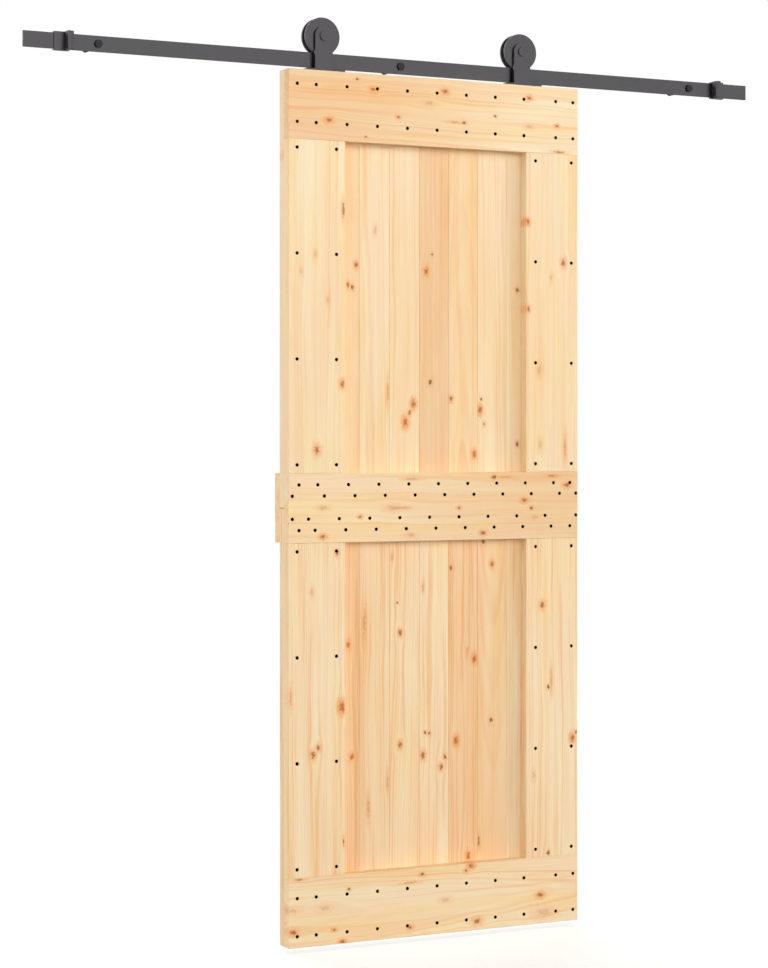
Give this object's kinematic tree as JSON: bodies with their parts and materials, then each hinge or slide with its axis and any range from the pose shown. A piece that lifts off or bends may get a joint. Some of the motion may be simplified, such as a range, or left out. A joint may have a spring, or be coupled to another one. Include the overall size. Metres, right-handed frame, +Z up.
{
  "type": "sliding barn door",
  "caption": "Pine plank barn door in a board frame with a middle rail, hung by strap hangers whose grooved wheels roll along a flat steel track on stand-offs, between end stops.",
  "frame": {"origin": "on the wall plane, on the axis of the track's middle wall fixing", "axes": "+X along the track to the right as seen from the room, +Y into the wall, +Z up"},
  "size_m": [1.98, 0.119, 2.2297],
  "materials": {
    "pine": "raw sanded pine with knots",
    "grey_steel": "satin grey powder coat",
    "dark_steel": "dark satin coating",
    "black_screws": "black phosphate",
    "bearing_steel": "ground bearing steel",
    "rubber": "dark grey moulded rubber"
  },
  "bodies": {
    "track": {"track": "grey_steel", "standoff_left": "dark_steel", "standoff_middle": "dark_steel", "standoff_right": "dark_steel", "track_bolts": "dark_steel", "end_stop_left": "grey_steel", "end_stop_right": "grey_steel", "stop_buffer_left": "rubber", "stop_buffer_right": "rubber", "stop_set_screws": "black_screws"},
    "door": {"top_rail": "pine", "middle_rail": "pine", "bottom_rail": "pine", "back_batten": "pine", "stile_upper_left": "pine", "stile_upper_right": "pine", "stile_lower_left": "pine", "stile_lower_right": "pine", "upper_plank_1": "pine", "upper_plank_2": "pine", "upper_plank_3": "pine", "upper_plank_4": "pine", "upper_plank_5": "pine", "upper_plank_6": "pine", "upper_plank_7": "pine", "upper_plank_8": "pine", "upper_plank_9": "pine", "upper_plank_10": "pine", "upper_plank_11": "pine", "lower_plank_1": "pine", "lower_plank_2": "pine", "lower_plank_3": "pine", "lower_plank_4": "pine", "lower_plank_5": "pine", "lower_plank_6": "pine", "lower_plank_7": "pine", "lower_plank_8": "pine", "lower_plank_9": "pine", "lower_plank_10": "pine", "lower_plank_11": "pine", "top_rail_screws": "black_screws", "bottom_rail_screws": "black_screws", "stile_screws": "black_screws", "middle_rail_screws": "black_screws", "hanger_left": "grey_steel", "hanger_right": "grey_steel", "foot_screws": "black_screws", "axle_bolts": "grey_steel", "axle_nuts": "dark_steel", "axle_spacers": "bearing_steel", "bearing_inner_rings": "bearing_steel"},
    "wheel_left": {"wheel_left": "grey_steel", "bearing_outer_ring_left": "bearing_steel", "bearing_balls_left": "bearing_steel"},
    "wheel_right": {"wheel_right": "grey_steel", "bearing_outer_ring_right": "bearing_steel", "bearing_balls_right": "bearing_steel"}
  },
  "joints": [
    {"name": "door_slide", "type": "slide", "parent": "track", "child": "door", "axis": [1, 0, 0], "range_m": [-0.61075, 0.55075]},
    {"name": "wheel_left_roll", "type": "hinge", "parent": "door", "child": "wheel_left", "pos_m": [-0.214, -0.088, 0.0572], "axis": [0, 1, 0], "continuous": true},
    {"name": "wheel_right_roll", "type": "hinge", "parent": "door", "child": "wheel_right", "pos_m": [0.333, -0.088, 0.0572], "axis": [0, 1, 0], "continuous": true}
  ],
  "couplings": [
    {"joint": "wheel_left_roll", "follows": "door_slide", "rad_per_m": 25.84},
    {"joint": "wheel_right_roll", "follows": "door_slide", "rad_per_m": 25.84}
  ]
}
